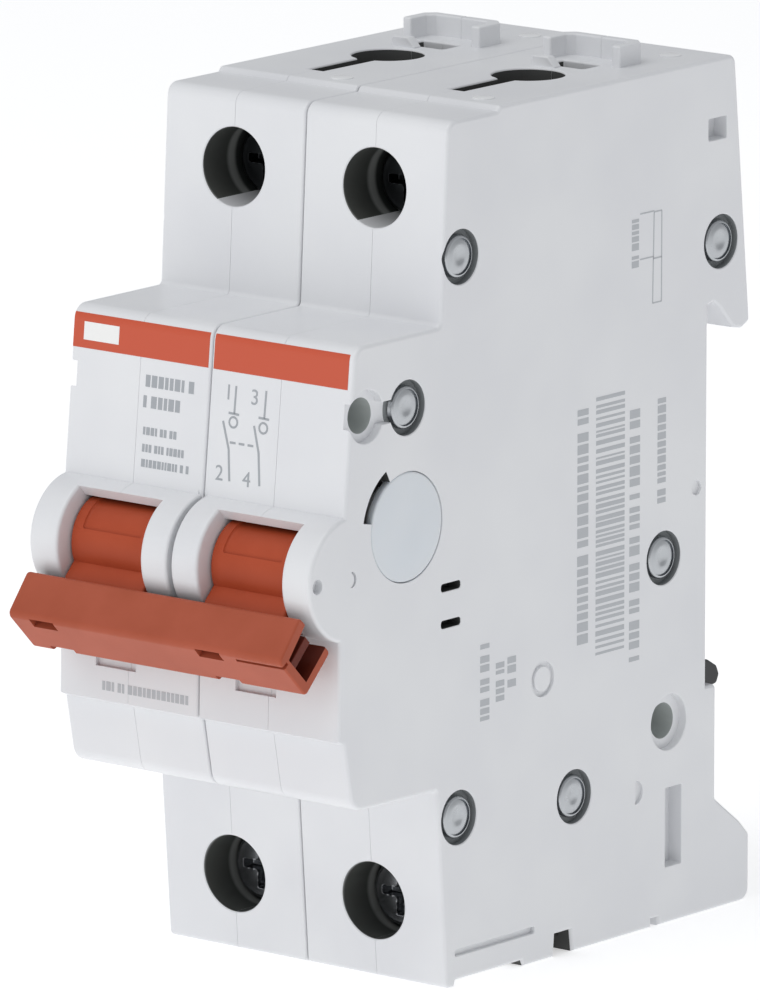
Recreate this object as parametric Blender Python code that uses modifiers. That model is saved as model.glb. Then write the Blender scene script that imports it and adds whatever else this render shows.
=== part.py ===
"""Two-pole modular switch disconnector for a 35 mm DIN rail, 35 mm wide, with toggle handles.

X runs across the poles, +Y points back to the rail and +Z is up. The origin is on the rail's front
plane (y = 0), at the middle of the 45 mm nose and between the two poles.
Lengths below are millimetres; MM turns them into Blender's metres. Outline points are (y, z) or
(y, z, radius), and an angle in the YZ plane is counted from +Y towards +Z.
"""

import math

import bmesh
import bpy
import numpy as np
from mathutils import Matrix, Vector

MM = 0.001

# --- Driving dimensions ---------------------------------------------------------------------------
MODULE = 17.5                      # one DIN module, and so one pole
HALF_WIDTH = MODULE                # two poles, either side of x = 0
POLES = {1: -MODULE / 2, 2: MODULE / 2}
SEAM = 0.05                        # half the gap at each seam between half shells
POLE_GAP = 0.06                    # half the gap between the two poles
TOP, BOTTOM = 42.8, -42.6
NOSE_TOP, NOSE_BOTTOM = 22.6, -22.5
CHAMBER = 6.9                      # half width of the hollow in a pole
TERMINAL_Z = 35.0                  # height of the terminal screws above and below the middle
WIRE_Y, ENTRY_R = -17.4, 3.6       # middle and radius of the wire entries

HINGE = (-55.3, 0.3)               # toggle axis
TRAVEL = math.radians(90)          # off, 45 degrees down, to on, 45 degrees up
LEVER_ANGLE = math.radians(225)    # the levers' direction when off
HOOD_R, DRUM_R, DRUM_HALF = 6.1, 4.35, 5.0
WINDOW_HALF = 5.2

CRANK_R, CRANK_ANGLE = 3.2, math.radians(45)
CARRIER_AXIS = (-34.5, -10.0)
CARRIER_PIN = (-48.0, -11.0)       # where the link's lower end sits when off
CARRIER_TURN = math.radians(18.0)
ARM_ANGLE = math.radians(90) - CARRIER_TURN
LINK_U = 2.6                       # the link's plane, from the middle of the pole
WIRE_R = 0.5

RIVETS = [(-38.6, 29.0), (2.0, 24.5), (-46.7, 15.6), (-6.9, -5.7), (-38.8, -25.9), (-20.9, -27.1)]
RIVET_HOLE_R, RIVET_RECESS_R, RECESS = 1.25, 2.7, 0.9
CAP_CENTRE, CAP_R = (-46.8, 4.0), 5.35
CLIP_HALF = 7.0

SCREW_HEAD_R, SCREW_SHANK_R, HEAD_DEEP = 3.35, 2.35, 2.4
SCREW_HEAD_Y = {1: -36.0, -1: -37.0}   # front of the screw heads, upper and lower

HOUSING = ("housing", (0.77, 0.775, 0.785, 1), 0.35, 0.0)
RED = ("red_handle", (0.42, 0.095, 0.05, 1), 0.45, 0.0)
BLACK = ("black_plastic", (0.02, 0.02, 0.022, 1), 0.5, 0.0)
CAP = ("cap_plastic", (0.70, 0.74, 0.79, 1), 0.4, 0.0)
CARRIER = ("carrier_plastic", (0.25, 0.26, 0.27, 1), 0.55, 0.0)
STEEL = ("zinc_plated_steel", (0.55, 0.56, 0.57, 1), 0.3, 1.0)
SPRING = ("spring_steel", (0.45, 0.45, 0.46, 1), 0.35, 1.0)
COPPER = ("copper", (0.72, 0.38, 0.22, 1), 0.35, 1.0)
BRAID = ("copper_braid", (0.62, 0.33, 0.20, 1), 0.6, 1.0)
SILVER = ("contact_silver", (0.80, 0.79, 0.76, 1), 0.25, 1.0)


# --- Helpers --------------------------------------------------------------------------------------
def clear_scene():
    for old in list(bpy.data.objects):
        bpy.data.objects.remove(old, do_unlink=True)


def new_collection(name):
    made = bpy.data.collections.new(name)
    bpy.context.scene.collection.children.link(made)
    return made


def material(name, colour, roughness, metallic):
    """One Principled material per finish, made the first time that it is asked for."""
    if name in bpy.data.materials:
        return bpy.data.materials[name]
    made = bpy.data.materials.new(name)
    made.use_nodes = True
    shader = made.node_tree.nodes["Principled BSDF"]
    shader.inputs["Base Color"].default_value = colour
    shader.inputs["Roughness"].default_value = roughness
    shader.inputs["Metallic"].default_value = metallic
    return made


def part(obj, look, axle=None):
    """Puts a finished object among the parts; axle is the empty on its joint's axis."""
    PARTS.objects.link(obj)
    obj.data.materials.clear()
    obj.data.materials.append(material(*look))
    if axle:
        obj.parent = axle
        obj.matrix_parent_inverse = axle.matrix_world.inverted()
    return obj


def cutter(obj):
    CUTTERS.objects.link(obj)
    obj.hide_render = True
    obj.display_type = "WIRE"
    return obj


def axle(name, x, y, z):
    empty = bpy.data.objects.new(name, None)
    empty.empty_display_size = 5 * MM
    empty.matrix_world = Matrix.Translation(Vector((x, y, z)) * MM)
    PARTS.objects.link(empty)
    return empty


def boolean(obj, other, operation="DIFFERENCE"):
    step = obj.modifiers.new(operation.title() + " " + other.name, "BOOLEAN")
    step.operation = operation
    step.solver = "EXACT"
    step.object = other


def arc(centre, radius, start, end, steps):
    """Points on a circle from one angle to another, in degrees."""
    turns = np.radians(np.linspace(start, end, steps + 1))
    return [(centre[0] + radius * math.cos(t), centre[1] + radius * math.sin(t)) for t in turns]


def rounded(points, steps=3):
    """A closed outline whose (y, z, radius) corners are turned into arcs."""
    made = []
    for before, corner, after in zip(points[-1:] + points[:-1], points, points[1:] + points[:1]):
        here = Vector(corner[:2])
        if len(corner) < 3:
            made.append(tuple(here))
            continue
        one = (Vector(before[:2]) - here).normalized()
        two = (Vector(after[:2]) - here).normalized()
        half = one.angle(two) / 2
        centre = here + (one + two).normalized() * corner[2] / math.sin(half)
        first = here + one * corner[2] / math.tan(half) - centre
        last = here + two * corner[2] / math.tan(half) - centre
        sweep = first.angle_signed(last)
        for step in range(steps + 1):
            turned = first.copy()
            turned.rotate(Matrix.Rotation(-sweep * step / steps, 2))
            made.append(tuple(centre + turned))
    return made


def along(origin, angle, distance, offset):
    """The (y, z) point that far along a direction, and that far to its left."""
    c, s = math.cos(angle), math.sin(angle)
    return (origin[0] + distance * c - offset * s, origin[1] + distance * s + offset * c)


# Local X and Y of a flat outline, and the direction it is extruded in, as world axes.
FACING = {
    "X": Matrix(((0, 0, 1), (1, 0, 0), (0, 1, 0))),   # outline in (y, z)
    "Y": Matrix(((1, 0, 0), (0, 0, -1), (0, 1, 0))),  # outline in (x, z), extruded towards -Y
    "Z": Matrix(((1, 0, 0), (0, 1, 0), (0, 0, 1))),   # outline in (x, y)
}


def prism(name, outlines, low, high, axis="X"):
    """A flat outline, or several with the later ones inside the first as holes, extruded."""
    curve = bpy.data.curves.new(name, "CURVE")
    curve.dimensions = "2D"
    curve.fill_mode = "BOTH"
    curve.extrude = (high - low) / 2 * MM
    if isinstance(outlines[0][0], (int, float)):
        outlines = [outlines]
    for outline in outlines:
        spline = curve.splines.new("POLY")
        spline.points.add(len(outline) - 1)
        for point, (a, b) in zip(spline.points, outline):
            point.co = (a * MM, b * MM, 0, 1)
        spline.use_cyclic_u = True
    flat = bpy.data.objects.new(name + "_outline", curve)
    bpy.context.scene.collection.objects.link(flat)
    bpy.context.view_layer.update()
    mesh = bpy.data.meshes.new_from_object(flat.evaluated_get(bpy.context.evaluated_depsgraph_get()))
    bpy.data.objects.remove(flat, do_unlink=True)
    bpy.data.curves.remove(curve)
    work = bmesh.new()
    work.from_mesh(mesh)
    bmesh.ops.remove_doubles(work, verts=work.verts, dist=0.001 * MM)
    middle = (high + low) / 2 * MM * (-1 if axis == "Y" else 1)
    turn = FACING[axis].to_4x4() @ Matrix.Translation((0, 0, middle))
    bmesh.ops.transform(work, matrix=turn, verts=work.verts)
    bmesh.ops.dissolve_limit(work, angle_limit=math.radians(1), verts=work.verts, edges=work.edges)
    bmesh.ops.recalc_face_normals(work, faces=work.faces)
    work.to_mesh(mesh)
    work.free()
    mesh.name = name
    return bpy.data.objects.new(name, mesh)


def box(name, low, high):
    work = bmesh.new()
    bmesh.ops.create_cube(work, size=1)
    low, high = Vector(low) * MM, Vector(high) * MM
    size = high - low
    bmesh.ops.scale(work, vec=size, verts=work.verts)
    bmesh.ops.translate(work, vec=(low + high) / 2, verts=work.verts)
    mesh = bpy.data.meshes.new(name)
    work.to_mesh(mesh)
    work.free()
    return bpy.data.objects.new(name, mesh)


AXIS_TURN = {"X": Matrix.Rotation(math.pi / 2, 4, "Y"), "Y": Matrix.Rotation(-math.pi / 2, 4, "X"),
             "Z": Matrix.Identity(4)}


def rod(name, centre, radius, low, high, axis="X", sides=18, end_radius=None):
    """A cylinder or cone along an axis; centre holds its two other coordinates in X, Y, Z order."""
    work = bmesh.new()
    end_radius = radius if end_radius is None else end_radius
    bmesh.ops.create_cone(work, cap_ends=True, segments=sides, radius1=radius * MM,
                          radius2=end_radius * MM, depth=(high - low) * MM)
    middle = (low + high) / 2
    place = {"X": (middle, *centre), "Y": (centre[0], middle, centre[1]), "Z": (*centre, middle)}[axis]
    turn = Matrix.Translation(Vector(place) * MM) @ AXIS_TURN[axis]
    bmesh.ops.transform(work, matrix=turn, verts=work.verts)
    mesh = bpy.data.meshes.new(name)
    work.to_mesh(mesh)
    work.free()
    return bpy.data.objects.new(name, mesh)


def turned(name, profile, centre, axis="X", sides=18):
    """A lathed piece: (radius, place) down its outer side from the high end of the axis to the low."""
    mesh = bpy.data.meshes.new(name)
    points = [(r * MM, 0, place * MM) for r, place in profile]
    mesh.from_pydata(points, [(i, i + 1) for i in range(len(points) - 1)], [])
    obj = bpy.data.objects.new(name, mesh)
    lathe = obj.modifiers.new("Lathe", "SCREW")
    lathe.steps = lathe.render_steps = sides
    lathe.use_merge_vertices = True
    lathe.merge_threshold = 0.00001
    place = {"X": (0, *centre), "Y": (centre[0], 0, centre[1]), "Z": (*centre, 0)}[axis]
    obj.matrix_world = Matrix.Translation(Vector(place) * MM) @ AXIS_TURN[axis]
    return obj


def wire(name, points, radius, smooth=False, resolution=3, steps=4):
    """A bent wire: a bevelled curve through world points, with filled ends."""
    curve = bpy.data.curves.new(name, "CURVE")
    curve.dimensions = "3D"
    curve.bevel_depth = radius * MM
    curve.bevel_resolution = resolution
    curve.use_fill_caps = True
    curve.resolution_u = steps
    spline = curve.splines.new("BEZIER" if smooth else "POLY")
    if smooth:
        spline.bezier_points.add(len(points) - 1)
        for knot, point in zip(spline.bezier_points, points):
            knot.co = Vector(point) * MM
            knot.handle_left_type = knot.handle_right_type = "AUTO"
    else:
        spline.points.add(len(points) - 1)
        for knot, point in zip(spline.points, points):
            knot.co = (*(Vector(point) * MM), 1)
    return bpy.data.objects.new(name, curve)


# --- Housing: four half shells, two to a pole -----------------------------------------------------
def shell_outline():
    """The housing seen from the side, from the upper shoulder round over the top, back and bottom."""
    upper = [
        (-41.7, NOSE_TOP, 0.5), (-40.6, 42.3, 1.3), (-33.0, 42.3), (-32.6, TOP), (4.2, TOP, 1.0),
        (6.6, 17.2), (6.7, 15.9, 0.4), (5.5, 15.3, 0.4), (4.0, 15.6), (1.9, 17.9), (0.9, 18.6), (0.0, 18.4),
    ]
    lower = [
        (0.0, -19.8), (1.6, -19.8), (1.6, -31.4, 0.6), (5.6, -34.4, 0.6), (7.1, -35.9, 0.6),
        (7.1, BOTTOM, 1.2), (-7.5, BOTTOM), (-7.5, -41.75), (-8.6, -41.75), (-8.6, BOTTOM),
        (-21.0, BOTTOM), (-21.3, -40.35), (-23.8, -40.35), (-24.0, BOTTOM), (-28.6, BOTTOM, 0.4),
        (-28.9, -42.0), (-39.2, -42.0), (-39.4, BOTTOM), (-40.6, BOTTOM, 0.5), (-42.1, -22.7, 0.5),
        (-54.9, NOSE_BOTTOM, 1.8), (-56.2, -15.7), (-57.05, -15.3, 0.2), (-56.85, -6.0),
    ]
    hood = arc(HINGE, HOOD_R, 255, 98, 12)
    nose = [(-56.1, 6.9), (-54.5, NOSE_TOP, 1.5)]
    return rounded(upper + lower) + hood + rounded(nose + [upper[0][:2]])[:-1]


def window_outline():
    """The opening in the hood: two flanks along the lever's two stops, joined behind the drum."""
    room = 1.85
    on, off = LEVER_ANGLE - TRAVEL, LEVER_ANGLE
    return [along(HINGE, on, 0.0, -room), along(HINGE, on, 8.0, -room), (-66.0, HINGE[1] + 7.0),
            (-66.0, HINGE[1] - 7.0), along(HINGE, off, 8.0, room), along(HINGE, off, 0.0, room)]


def chamber_outlines():
    """The hollows of a pole, as seen from the side: terminals, mechanism, and back."""
    upper_terminal = [(-34.0, 30.6), (-12.5, 30.6), (-12.5, 41.2), (-34.0, 41.2)]
    lower_terminal = [(y, -z) for y, z in upper_terminal]
    mechanism = [
        (-12.5, 27.2), (-36.0, 27.2), (-36.0, 20.9), (-44.0, 20.9), (-44.0, 12.2), (-50.3, 12.2),
        (-50.3, -8.0), (-53.8, -8.0), (-53.8, -20.9), (-12.5, -20.9),
    ]
    back = [(-11.0, 41.0), (2.6, 41.0), (3.2, 28.2), (-1.6, 28.2), (-1.6, -15.0), (-11.0, -15.0)]
    return [upper_terminal, lower_terminal, mechanism, back, arc(RIVETS[3], 2.3, 0, 345, 15)]


def wire_entry_outline(x):
    """A round entry with a narrow nick in front of it, in (x, y)."""
    nick = 1.0
    return arc((x, WIRE_Y), ENTRY_R, -73, 253, 24) + [(x - nick, -28.6), (x + nick, -28.6)]


def collar_outline(x, side):
    """Half of the U-shaped collar behind an upper wire entry, in (x, y)."""
    outer, inner = 4.85, 3.75
    half = [(0.0, -6.0), (inner - 0.7, -6.0), (inner, -6.7), (inner, -9.2), (outer, -9.2),
            (outer, -5.9), (outer - 1.0, -4.9), (0.0, -4.9)]
    return [(x + side * (u if u else SEAM), y) for u, y in half]


def pole_cutters(pole, x):
    """What is cut from both half shells of a pole."""
    def span(half):
        return x - half, x + half

    cuts = [cutter(prism(f"cut_{pole}_chambers", chamber_outlines(), *span(CHAMBER)))]
    for sign, what in ((1, "upper"), (-1, "lower")):
        z = sign * TERMINAL_Z
        cuts.append(cutter(rod(f"cut_{pole}_{what}_tube", (x, z), 3.85, -50, -30, "Y", 28)))
        cuts.append(cutter(box(f"cut_{pole}_{what}_bar", (x - 3.8, -26.1, min(z, sign * 20)),
                               (x + 3.8, -23.4, max(z, sign * 20)))))
        low, high = sorted((sign * 38.0, sign * 46.0))
        cuts.append(cutter(prism(f"cut_{pole}_{what}_entry", wire_entry_outline(x), low, high, "Z")))
    cuts.append(cutter(box(f"cut_{pole}_busbar_slot", (x - 2.4, -11.9, 40.0), (x + 2.4, -8.9, 46.0))))
    cuts.append(cutter(rod(f"cut_{pole}_drum", HINGE, 4.7, *span(WINDOW_HALF), "X", 28)))
    cuts.append(cutter(prism(f"cut_{pole}_window", window_outline(), *span(WINDOW_HALF))))
    cuts.append(cutter(box(f"cut_{pole}_link_way", (x - WINDOW_HALF, -53.4, -9.0),
                           (x + WINDOW_HALF, -49.0, 3.0))))
    cuts.append(cutter(rod(f"cut_{pole}_toggle_pin", HINGE, 1.15, *span(6.8), "X", 16)))
    cuts.append(cutter(rod(f"cut_{pole}_carrier_pin", CARRIER_AXIS, 1.35, *span(7.5), "X", 16)))
    clip = [(-2.8, -17.1), (9.0, -17.1), (9.0, -24.8), (0.2, -24.8), (0.2, -50.0), (-2.8, -50.0)]
    cuts.append(cutter(prism(f"cut_{pole}_clip_way", clip, *span(CLIP_HALF + 0.2))))
    cuts.append(cutter(box(f"cut_{pole}_label_step", (x - 4.1, -60.0, -12.0), (x + 0.95, -56.5, -5.0))))
    return cuts


def side_cutters(name, x, side):
    """What is cut into an outer face: rivet recesses, the plug's seat, and the small openings."""
    near, far = sorted((x - side * RECESS, x + side * 1.0))
    cuts = [rod(f"cut_{name}_recess_{i}", at, RIVET_RECESS_R, near, far) for i, at in enumerate(RIVETS)]
    cuts.append(rod(f"cut_{name}_plug", CAP_CENTRE, CAP_R + 0.15, *sorted((x - side * 1.0, x + side))))
    crescent = arc(CAP_CENTRE, 6.7, 118, 168, 8) + arc(CAP_CENTRE, 4.6, 168, 118, 8)
    cuts.append(prism(f"cut_{name}_crescent", crescent, *sorted((x - side * 1.7, x + side))))
    deep = sorted((x - side * 1.6, x + side))
    cuts.append(rod(f"cut_{name}_aid_ring", (-52.9, 15.7), 2.6, near, far))
    cuts.append(rod(f"cut_{name}_aid_hole", (-52.9, 15.7), 1.75, *sorted((x - side * 4.0, x + side))))
    cuts.append(box(f"cut_{name}_aid_way", (near, -52.0, 14.55), (far, -48.0, 16.75)))
    cuts.append(rod(f"cut_{name}_bore_step", (-6.0, -22.3), 2.8, near, far))
    cuts.append(rod(f"cut_{name}_bore", (-6.0, -22.3), 1.8, *sorted((x - side * 4.0, x + side))))
    cuts.append(box(f"cut_{name}_tall_slot", (deep[0], -6.5, -36.9), (deep[1], -3.9, -28.9)))
    cuts.append(box(f"cut_{name}_rear_window", (deep[0], -0.1, 34.7), (deep[1], 2.8, 36.9)))
    for i, z in enumerate((-2.0, -5.6)):
        cuts.append(box(f"cut_{name}_slot_{i}", (deep[0], -41.6, z - 1.3), (deep[1], -38.6, z - 0.5)))
    strip = [(-39.4, -38.9), (-27.1, -38.9), (-27.1, -39.6), (-39.4, -39.6)]
    cuts.append(prism(f"cut_{name}_strip", strip, *sorted((x - side * 0.5, x + side))))
    return [cutter(cut) for cut in cuts]


def make_housing():
    rivet_ways = [cutter(rod(f"cut_rivet_way_{i}", at, RIVET_HOLE_R, -20, 20, "X", 16))
                  for i, at in enumerate(RIVETS)]
    hood_gap = cutter(rod("cut_hood_gap", HINGE, 7.0, -0.3, 0.3, "X", 28))
    nose_face = cutter(box("cut_hood_gap_keep", (-1, -56.0, -8), (1, -40, 8)))
    boolean(hood_gap, nose_face)
    for pole, x in POLES.items():
        shared = pole_cutters(pole, x)
        for side, name in ((-1, "left"), (1, "right")):
            edge = x + side * MODULE / 2
            outer = abs(edge) > 1
            edge -= 0 if outer else side * POLE_GAP
            low, high = sorted((x + side * SEAM, edge))
            shell = prism(f"pole_{pole}_{name}_shell", shell_outline(), low, high)
            collar = cutter(prism(f"add_{pole}_{name}_collar", collar_outline(x, side), 42.0, 44.9, "Z"))
            boolean(shell, collar, "UNION")
            if side < 0:
                nub = cutter(box(f"add_{pole}_nub", (x - 2.9, -13.3, 42.0), (x - 0.9, -12.2, 43.8)))
                boolean(shell, nub, "UNION")
            for cut in shared + rivet_ways:
                boolean(shell, cut)
            if outer:
                for cut in side_cutters(name, edge, side):
                    boolean(shell, cut)
            else:
                boolean(shell, hood_gap)
            part(shell, HOUSING)


def make_rivets():
    """Full-width rivets with a low domed head at each end."""
    head_r, head, shank_r, reach = 2.1, 0.55, 1.1, HALF_WIDTH - RECESS + 0.1
    end = [(0.0, reach + head), (head_r - 0.5, reach + head), (head_r, reach + head - 0.3), (head_r, reach)]
    profile = end + [(shank_r, reach)]
    profile += [(r, -place) for r, place in reversed(profile)]
    for i, at in enumerate(RIVETS, 1):
        part(turned(f"rivet_{i}", profile, at, "X", 16), STEEL)


def make_side_plugs():
    for side, name in ((-1, "left"), (1, "right")):
        low, high = sorted((side * (HALF_WIDTH - 0.9), side * HALF_WIDTH))
        part(rod(f"side_plug_{name}", CAP_CENTRE, CAP_R, low, high, "X", 36), CAP)


# --- Handle: two toggle levers under one tie bar --------------------------------------------------
def lever_frame(distance, offset):
    return along(HINGE, LEVER_ANGLE, distance, offset)


def make_toggle(pole, x, handle):
    """A drum with a lever; its back is slotted for the return spring and for the link."""
    lever = [lever_frame(*at) for at in
             ((2.0, 1.6), (5.8, 1.6), (6.3, 1.3), (10.3, 1.15), (10.3, -1.15), (6.3, -1.3), (5.8, -1.6), (2.0, -1.6))]
    toggle = rod(f"toggle_{pole}", HINGE, DRUM_R, x - DRUM_HALF, x + DRUM_HALF, "X", 32)
    boolean(toggle, cutter(prism(f"add_{pole}_lever", lever, x - DRUM_HALF, x + DRUM_HALF)), "UNION")
    crank = along(HINGE, CRANK_ANGLE, CRANK_R, 0)
    boolean(toggle, cutter(rod(f"cut_{pole}_toggle_bore", HINGE, 1.12, x - 6, x + 6, "X", 16)))
    boolean(toggle, cutter(rod(f"cut_{pole}_spring_room", HINGE, 3.0, x - 1.5, x + 1.5, "X", 20)))
    boolean(toggle, cutter(box(f"cut_{pole}_spring_leg_way", (x - 1.5, HINGE[0] + 1.0, HINGE[1] - 2.7),
                               (x + 1.5, HINGE[0] + 6, HINGE[1] + 6))))
    boolean(toggle, cutter(box(f"cut_{pole}_link_slot", (x + LINK_U - 0.8, HINGE[0] + 1.25, HINGE[1] - 6),
                               (x + LINK_U + 0.8, HINGE[0] + 6, HINGE[1] + 6))))
    boolean(toggle, cutter(rod(f"cut_{pole}_crank_hole", crank, 0.65, x + LINK_U, x + 6, "X", 16)))
    recess = [lever_frame(2.4, -5.5), lever_frame(-1.6, -5.5), lever_frame(-1.6, -3.9), lever_frame(2.4, -3.9)]
    boolean(toggle, cutter(prism(f"cut_{pole}_grip_recess", recess, x - 3.6, x + 3.6)))
    part(toggle, RED, handle)


def make_tie_bar(handle):
    """A cap over both levers: a hollow wedge, closed at the left end, with snap windows."""
    half, wall = 17.0, 1.0
    section = rounded([(*lever_frame(6.4, 3.1),), (*lever_frame(11.6, 3.1), 0.5),
                       (*lever_frame(11.6, -2.55), 0.7), (*lever_frame(6.7, -3.1),)])
    hollow = [lever_frame(5.5, 3.1 - wall), lever_frame(10.6, 3.1 - wall),
              lever_frame(10.6, wall - 2.55), lever_frame(5.5, wall - 3.1)]
    bar = prism("handle_tie_bar", section, -half, half)
    boolean(bar, cutter(prism("cut_bar_hollow", hollow, wall - half, half + 1)))
    rib = [lever_frame(7.4, -0.9), lever_frame(11.0, -0.9), lever_frame(11.0, 0.1), lever_frame(7.4, 0.1)]
    boolean(bar, cutter(prism("add_bar_rib", rib, 14.4, half - 0.2)), "UNION")
    windows = {"front": ((9.0, -2.2), (13.0, -2.2), (13.0, -1.0), (9.0, -1.0)),
               "under": ((9.8, 2.2), (12.5, 2.2), (12.5, 4.0), (9.8, 4.0))}
    for i, x in enumerate((-12.9, 7.8)):
        for what, corners in windows.items():
            outline = [lever_frame(*at) for at in corners]
            boolean(bar, cutter(prism(f"cut_bar_window_{what}_{i}", outline, x - 1.5, x + 1.5)))
    slit = [lever_frame(*at) for at in ((10.9, -1.75), (13.0, -1.75), (13.0, -1.35), (10.9, -1.35))]
    boolean(bar, cutter(prism("cut_bar_slit", slit, 11.1, 18.0)))
    part(bar, RED, handle)


def make_toggle_pin(pole, x):
    pin = rod(f"toggle_pin_{pole}", HINGE, 1.02, x - 6.7, x + 6.7, "X", 16)
    part(pin, STEEL)


def make_toggle_spring(pole, x):
    """A torsion spring round the pin, with one leg back into the housing."""
    turns, coil_r, wire_r, steps = 3, 2.0, 0.25, 12
    points = []
    for i in range(turns * steps + 1):
        t = 2 * math.pi * i / steps
        across = x - 0.95 + 1.9 * i / (turns * steps)
        points.append((across, HINGE[0] + coil_r * math.sin(t), HINGE[1] - coil_r * math.cos(t)))
    last = points[-1]
    points += [(last[0], last[1] + 3.0, last[2]), (last[0], last[1] + 7.5, last[2])]
    part(wire(f"toggle_spring_{pole}", points, wire_r, resolution=0), SPRING)


# --- Mechanism of a pole --------------------------------------------------------------------------
def make_link(pole, x, link_axle):
    """A steel wire with both ends bent sideways, from the toggle's crank to the carrier."""
    crank = along(HINGE, CRANK_ANGLE, CRANK_R, 0)
    down = Vector(CARRIER_PIN) - Vector(crank)
    start, end = Vector(crank) + down.normalized() * 0.4, Vector(CARRIER_PIN) - down.normalized() * 0.4
    points = [(x + 4.7, *crank), (x + LINK_U + 0.45, *crank), (x + LINK_U, *start),
              (x + LINK_U, *end), (x + LINK_U + 0.45, *CARRIER_PIN), (x + 5.6, *CARRIER_PIN)]
    part(wire(f"drive_link_{pole}", points, WIRE_R, resolution=1), SPRING, link_axle)


def make_carrier(pole, x, carrier_axle):
    """A moulded bell crank: a hub, a front arm that the link moves, and a socket for the contact arm."""
    def front(distance, offset):
        return along(CARRIER_AXIS, math.atan2(CARRIER_PIN[1] - CARRIER_AXIS[1],
                                              CARRIER_PIN[0] - CARRIER_AXIS[0]), distance, offset)

    reach = math.dist(CARRIER_AXIS, CARRIER_PIN)
    carrier = rod(f"contact_carrier_{pole}", CARRIER_AXIS, 2.7, x - 5.2, x + 5.6, "X", 24)
    arm = [front(0, 2.2), front(reach, 2.7), front(reach + 2.3, 1.6), front(reach + 2.3, -1.6),
           front(reach, -2.7), front(0, -2.2)]
    boolean(carrier, cutter(prism(f"add_{pole}_carrier_arm", arm, x + 3.5, x + 5.6)), "UNION")
    stub = [along(CARRIER_AXIS, ARM_ANGLE, *at) for at in ((0, -2.3), (8.5, -2.1), (8.5, 2.1), (0, 2.3))]
    boolean(carrier, cutter(prism(f"add_{pole}_carrier_stub", stub, x - 4.2, x + 4.2)), "UNION")
    boolean(carrier, cutter(rod(f"cut_{pole}_carrier_bore", CARRIER_AXIS, 1.32, x - 8, x + 8, "X", 16)))
    boolean(carrier, cutter(rod(f"cut_{pole}_link_hole", CARRIER_PIN, 1.75, x, x + 8, "X", 16)))
    socket = [along(CARRIER_AXIS, ARM_ANGLE, *at) for at in ((2.2, -1.1), (9.5, -1.1), (9.5, 1.1), (2.2, 1.1))]
    boolean(carrier, cutter(prism(f"cut_{pole}_arm_socket", socket, x - 2.6, x + 2.6)))
    part(carrier, CARRIER, carrier_axle)
    part(rod(f"carrier_pin_{pole}", CARRIER_AXIS, 1.22, x - 7.4, x + 7.4, "X", 16), STEEL)


def make_contacts(pole, x, carrier_axle):
    """The copper arm with its silver tip, and the fixed tip that it closes on when it stands upright."""
    arm = [along(CARRIER_AXIS, ARM_ANGLE, *at) for at in ((2.4, -1.0), (26.0, -1.0), (26.0, 1.0), (2.4, 1.0))]
    part(prism(f"contact_arm_{pole}", rounded(arm), x - 2.5, x + 2.5), COPPER, carrier_axle)
    tip = [along(CARRIER_AXIS, ARM_ANGLE, *at) for at in ((21.5, 1.1), (25.5, 1.1), (25.2, 1.9), (21.8, 1.9))]
    part(prism(f"moving_contact_{pole}", tip, x - 2.0, x + 2.0), SILVER, carrier_axle)
    fixed = [(-37.5, 11.5), (-37.5, 15.5), (-36.7, 15.2), (-36.7, 11.8)]
    part(prism(f"fixed_contact_{pole}", fixed, x - 2.0, x + 2.0), SILVER)


def make_bars(pole, x):
    """Bent copper bars: from the upper terminal to the fixed tip, and up from the lower terminal."""
    line = [(-25.5, 40.2), (-24.0, 40.2), (-24.0, 18.4, 1.5), (-37.6, 18.4), (-37.6, 10.6),
            (-39.1, 10.6), (-39.1, 19.9, 1.5), (-25.5, 19.9)]
    part(prism(f"line_bar_{pole}", rounded(line), x - 3.5, x + 3.5), COPPER)
    load = [(-25.5, -40.0), (-24.0, -40.0), (-24.0, -17.0), (-25.5, -17.0)]
    part(prism(f"load_bar_{pole}", load, x - 3.5, x + 3.5), COPPER)


def make_braid(pole, x):
    """The flexible lead from the lower bar to the back of the contact arm."""
    top = along(CARRIER_AXIS, ARM_ANGLE, 13.0, -1.5)
    route = [(x, -24.75, -16.6), (x, -22.8, -8.0), (x, -24.0, -0.5), (x, *top)]
    part(wire(f"flexible_braid_{pole}", route, 1.15, smooth=True, resolution=1, steps=4), BRAID)


def make_contact_spring(pole, x):
    """A compression spring between the floor of the nose and the carrier's front arm."""
    turns, coil_r, wire_r, low, high, steps = 5, 1.7, 0.25, -20.55, -13.6, 10
    count = turns * steps
    points = []
    for i in range(count + 1):
        t = 2 * math.pi * i / steps
        points.append((x + 4.5 + coil_r * math.cos(t), -43.5 + coil_r * math.sin(t),
                       low + (high - low) * i / count))
    part(wire(f"contact_spring_{pole}", points, wire_r, resolution=0), SPRING)


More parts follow.
